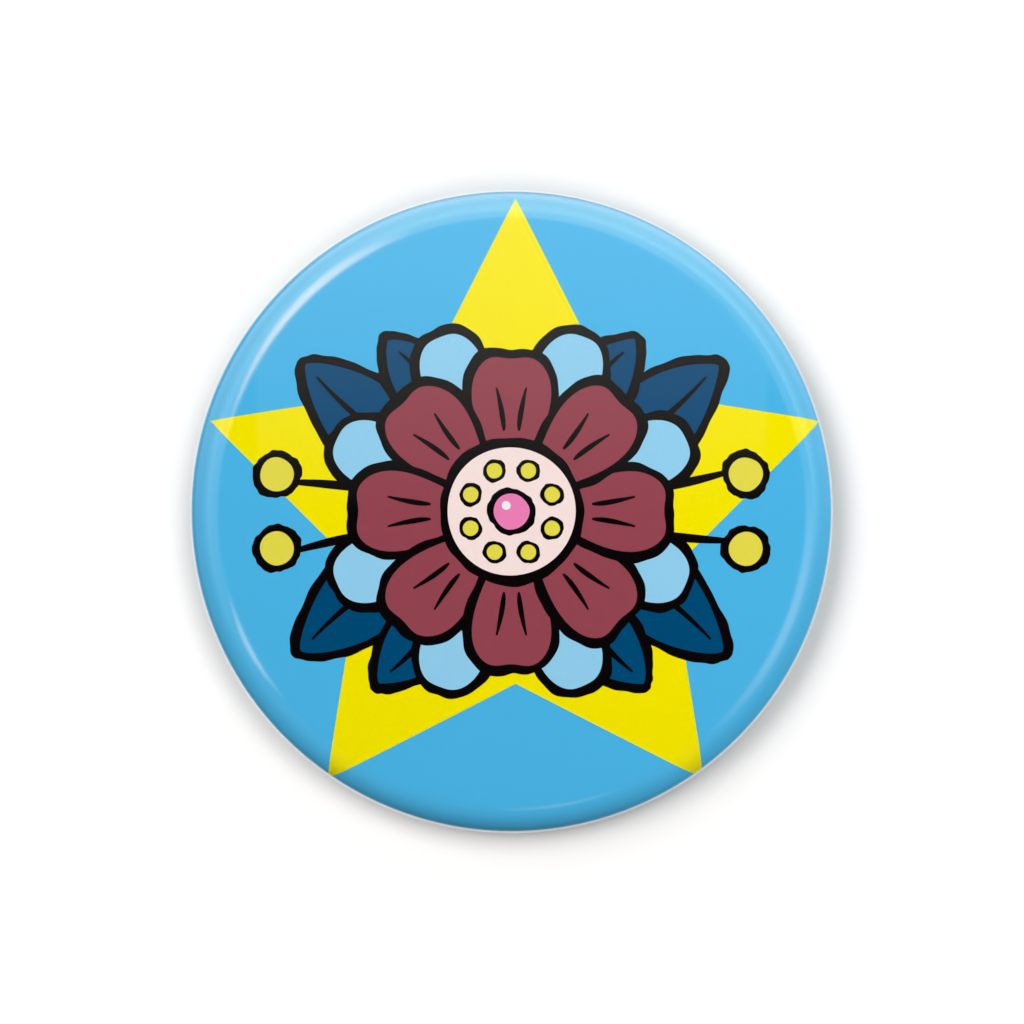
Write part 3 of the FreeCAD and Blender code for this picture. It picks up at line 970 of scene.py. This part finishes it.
# A dark band in the ceiling edges the badge's left, and a stretch of it ahead at the right is dimmer.
BAND_BY_DEPTH = ((0.70, 0.0), (0.74, 1.0), (0.79, 1.0), (0.83, 0.0))
BAND_SIDE = (-0.8, -0.3)   # by right
BAND_LEVEL = 0.15
DIM_BY_DEPTH = ((0.17, 1.0), (0.22, 0.0))
DIM_SIDE = (0.45, 0.7)     # by right
DIM_LEVEL = 0.65
BEHIND_BY_DEPTH = ((0.79, 0.0), (0.85, 0.7), (0.92, 0.95), (1.0, 1.0))
BEHIND_CLIMB = 0.35        # how much paler it is at the top than in the middle
PANEL_LEVEL = 2.7          # of the faint panel ahead, which brightens upwards
PANEL_SIDE = (0.415, 0.425)    # by x
PANEL_TURNS_OFF = (-0.5, -0.4)     # by y
PANEL_TINT = (1.0, 1.0, 0.93)
LAMP_EDGE = 1.5            # how softly the mirrored lamps fade out
LEAST_ACROSS = 1e-4        # keeps straight ahead and behind from a division by zero
WARM_LAMP, ORANGE_LAMP = (1.0, 0.77, 0.42), (1.0, 0.55, 0.2)
# tint, degrees off the front axis, degrees round it, reach out and round in degrees, lean, radiance
MIRRORED_LAMPS = (
    (ORANGE_LAMP, 37.2, 135, 22.8, 15.7, 28, 12.8),
    (WARM_LAMP, 31, 207.5, 16, 6.3, 0, 6.7),
    (WARM_LAMP, 42.5, -21, 20, 20, 0, 3.1),
    (WARM_LAMP, 40, -81, 7, 9, 0, 1.8),
)


def glow(tree, direction, off, around, reach_out, reach_round, lean, radiance):
    """The level of a soft oval lamp, which leans off the line from the front axis."""
    middle = from_axis(off, around)
    beside = middle.cross(Y_AXIS).normalized()
    outward = beside.cross(middle)
    lean = math.radians(lean)
    along = outward * math.cos(lean) - beside * math.sin(lean)
    across = beside * math.cos(lean) + outward * math.sin(lean)
    squares = []
    for axis, reach in ((along, reach_out), (across, reach_round)):
        place = vector_calc(tree, "DOT_PRODUCT", direction, axis / math.sin(math.radians(reach)))
        squares.append(product(tree, place, place))
    left = calc(tree, "MAXIMUM", calc(tree, "SUBTRACT", 1.0, calc(tree, "ADD", *squares)), 0.0)
    return product(tree, calc(tree, "POWER", left, LAMP_EDGE), radiance)


def mirrored_room(tree):
    """Dark ahead but for a faint panel and the lamps, bright overhead, dim below, pale behind."""
    direction = tree.nodes.new("ShaderNodeTexCoord").outputs["Generated"]
    x, y, z = separated(tree, direction)
    across = calc(tree, "MAXIMUM", calc(tree, "SUBTRACT", 1.0, product(tree, y, y)), LEAST_ACROSS)
    across = calc(tree, "SQRT", across)
    up, right = calc(tree, "DIVIDE", z, across), calc(tree, "DIVIDE", x, across)
    depth = ranged(tree, y, -1.0, 1.0, 0.0, 1.0)
    gate = ranged(tree, y, *(-math.cos(math.radians(angle)) for angle in GATE), 0.0, 1.0)

    half_up = calc(tree, "MAXIMUM", product(tree, calc(tree, "ADD", up, 1.0), 0.5), 0.0)
    height = calc(tree, "POWER", half_up, ranged(tree, y, *FALL_TURNS, *CEILING_FALL))
    ceiling = calc(tree, "ADD", product(tree, height, CEILING_LEVEL), FLOOR_LEVEL)
    band = product(tree, ramp(tree, depth, BAND_BY_DEPTH), ranged(tree, right, *BAND_SIDE, 1.0, 0.0))
    dim = product(tree, ramp(tree, depth, DIM_BY_DEPTH), ranged(tree, right, *DIM_SIDE, 0.0, 1.0))
    ceiling = product(tree, ceiling, ramp(tree, depth, CEILING_BY_DEPTH),
                      ranged(tree, band, 0.0, 1.0, 1.0, BAND_LEVEL),
                      ranged(tree, dim, 0.0, 1.0, 1.0, DIM_LEVEL), gate)
    tint = mixed(tree, ranged(tree, y, *TINT_TURNS, 0.0, 1.0), CEILING_TINT, CEILING_TINT_BEHIND)

    panel = product(tree, calc(tree, "MAXIMUM", z, 0.0), PANEL_LEVEL,
                    ranged(tree, calc(tree, "ABSOLUTE", x), *PANEL_SIDE, 1.0, 0.0),
                    calc(tree, "SUBTRACT", 1.0, gate), ranged(tree, y, *PANEL_TURNS_OFF, 1.0, 0.0))
    behind = product(tree, calc(tree, "ADD", product(tree, z, BEHIND_CLIMB), 1.0),
                     ramp(tree, depth, BEHIND_BY_DEPTH))
    ahead = product(tree, calc(tree, "LESS_THAN", y, 0.0), gate)
    lamps = [scaled(tree, lamp_tint, product(tree, glow(tree, direction, *lamp), ahead))
             for lamp_tint, *lamp in MIRRORED_LAMPS]
    return added(tree, scaled(tree, WHITE[:3], behind), *lamps, scaled(tree, tint, ceiling),
                 scaled(tree, PANEL_TINT, panel))


def world_light():
    """Even light for the rest, the mirrored room for gloss, and white for the camera."""
    world = bpy.data.worlds.new("studio")
    bpy.context.scene.world = world
    world.use_nodes = True
    tree = world.node_tree
    path = tree.nodes.new("ShaderNodeLightPath")
    seen = mixed(tree, path.outputs["Is Glossy Ray"], tinted(WHITE, AMBIENT), mirrored_room(tree))
    seen = mixed(tree, path.outputs["Is Camera Ray"], seen, WHITE)
    tree.links.new(seen, tree.nodes["Background"].inputs["Color"])


world_light()

LENS = 100.0
CAMERA_AT = (0.04, -196.1, -0.035)
NEAR_CLIP = 0.001
camera_data = bpy.data.cameras.new("camera")
camera_data.lens = LENS
camera_data.clip_start = NEAR_CLIP
camera = bpy.data.objects.new("camera", camera_data)
camera.location = [c * MM for c in CAMERA_AT]
camera.rotation_euler = (math.pi / 2, 0, 0)
bpy.context.scene.collection.objects.link(camera)
bpy.context.scene.camera = camera
bpy.context.scene.view_settings.view_transform = "Standard"

# ---------------------------------------------------------------- the badge

paper_piece()
film_piece()
pin_pieces()
for node, material in (
    ("front_shell", tinplate(*SHELL_TIN)),
    ("back_plate", tinplate(*PLATE_TIN)),
    ("pin_clasp", nickel(*CLASP_NICKEL)),
):
    data = bpy.data.objects[node].data
    data.materials.clear()
    data.materials.append(material)
